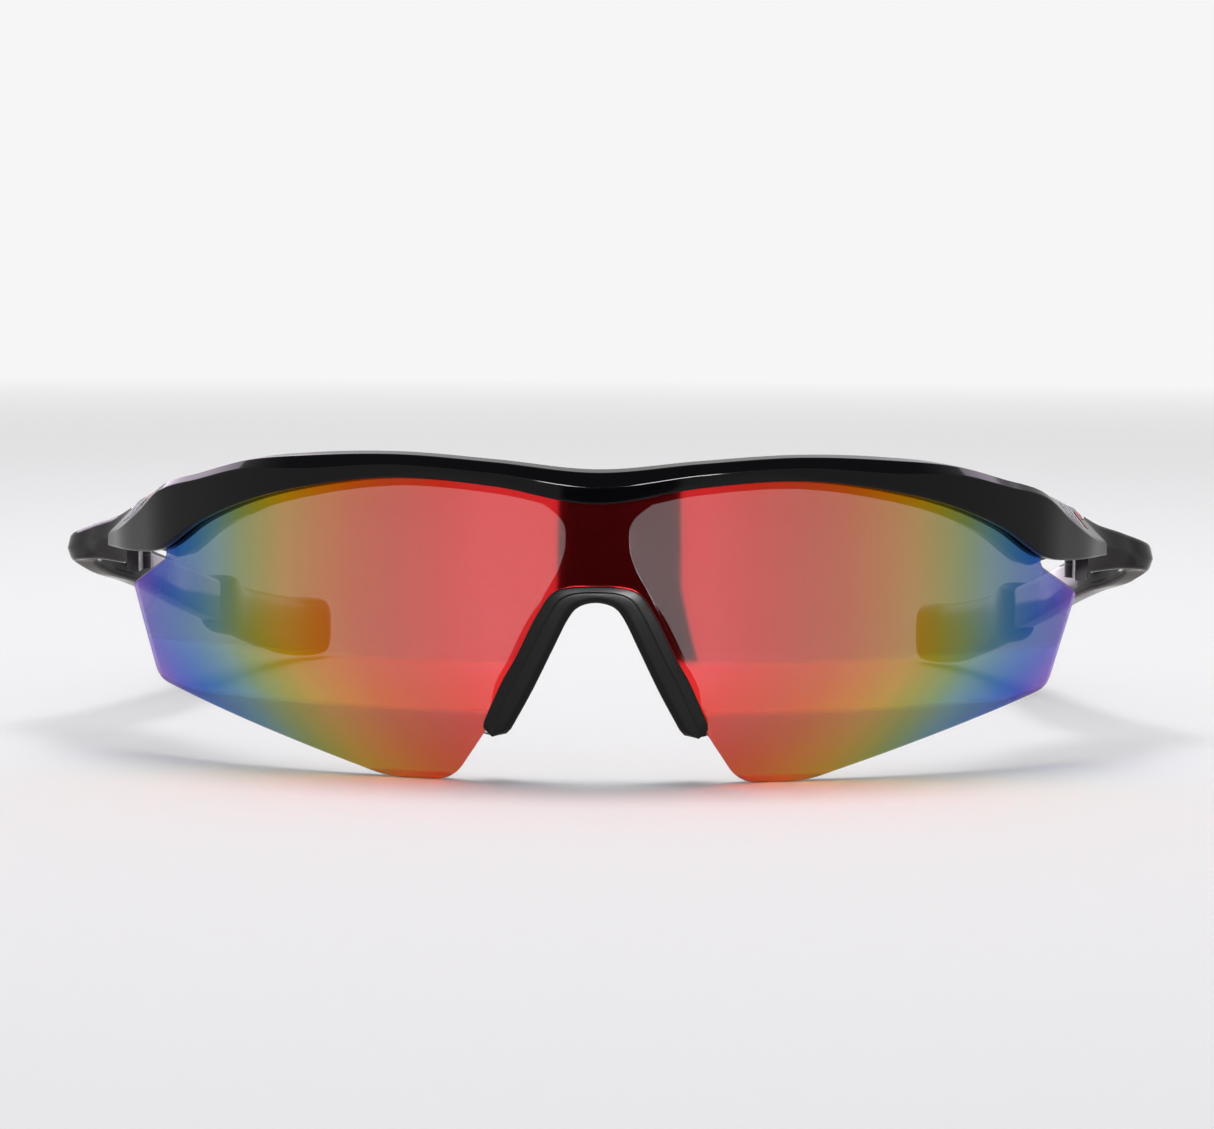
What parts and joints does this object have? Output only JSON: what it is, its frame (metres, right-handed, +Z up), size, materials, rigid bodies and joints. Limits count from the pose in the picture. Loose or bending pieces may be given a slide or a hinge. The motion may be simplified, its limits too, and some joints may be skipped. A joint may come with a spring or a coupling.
{
  "type": "wraparound sport sunglasses",
  "caption": "Wraparound sport sunglasses with a one-piece mirrored shield lens held in a half-frame brow, a soft nose saddle and folding arms with rubber ear socks.",
  "frame": {"origin": "on the table, under the middle of the open sunglasses' box", "axes": "+X to the wearer's left, +Y from the lens back to the ears, +Z up"},
  "size_m": [0.1514, 0.1596, 0.0413],
  "materials": {
    "gloss_black": "gloss moulded",
    "mirror_lens": "rainbow mirror coating on tinted polycarbonate",
    "soft_rubber": "soft satin",
    "hinge_metal": "blackened",
    "screw_metal": "turned",
    "washer_plastic": "natural",
    "badge_white": "printed",
    "accent_red": "printed"
  },
  "bodies": {
    "front": {"brow_frame": "gloss_black", "shield_lens": "mirror_lens", "nose_saddle": "soft_rubber", "hinge_front_leaf_left": "hinge_metal", "hinge_screw_left": "screw_metal", "hinge_washer_upper_left": "washer_plastic", "hinge_washer_lower_left": "washer_plastic", "badge_left": "badge_white", "accent_left": "accent_red", "hinge_front_leaf_right": "hinge_metal", "hinge_screw_right": "screw_metal", "hinge_washer_upper_right": "washer_plastic", "hinge_washer_lower_right": "washer_plastic", "badge_right": "badge_white", "accent_right": "accent_red"},
    "temple_arm_left": {"temple_left": "gloss_black", "ear_sock_left": "soft_rubber", "hinge_temple_leaf_left": "hinge_metal"},
    "temple_arm_right": {"temple_right": "gloss_black", "ear_sock_right": "soft_rubber", "hinge_temple_leaf_right": "hinge_metal"}
  },
  "joints": [
    {"name": "hinge_left", "type": "hinge", "parent": "front", "child": "temple_arm_left", "pos_m": [0.06431, -0.02863, 0.02568], "axis": [0, 0, 1], "range_deg": [0, 93]},
    {"name": "hinge_right", "type": "hinge", "parent": "front", "child": "temple_arm_right", "pos_m": [-0.06431, -0.02863, 0.02568], "axis": [0, 0, -1], "range_deg": [0, 84]}
  ]
}
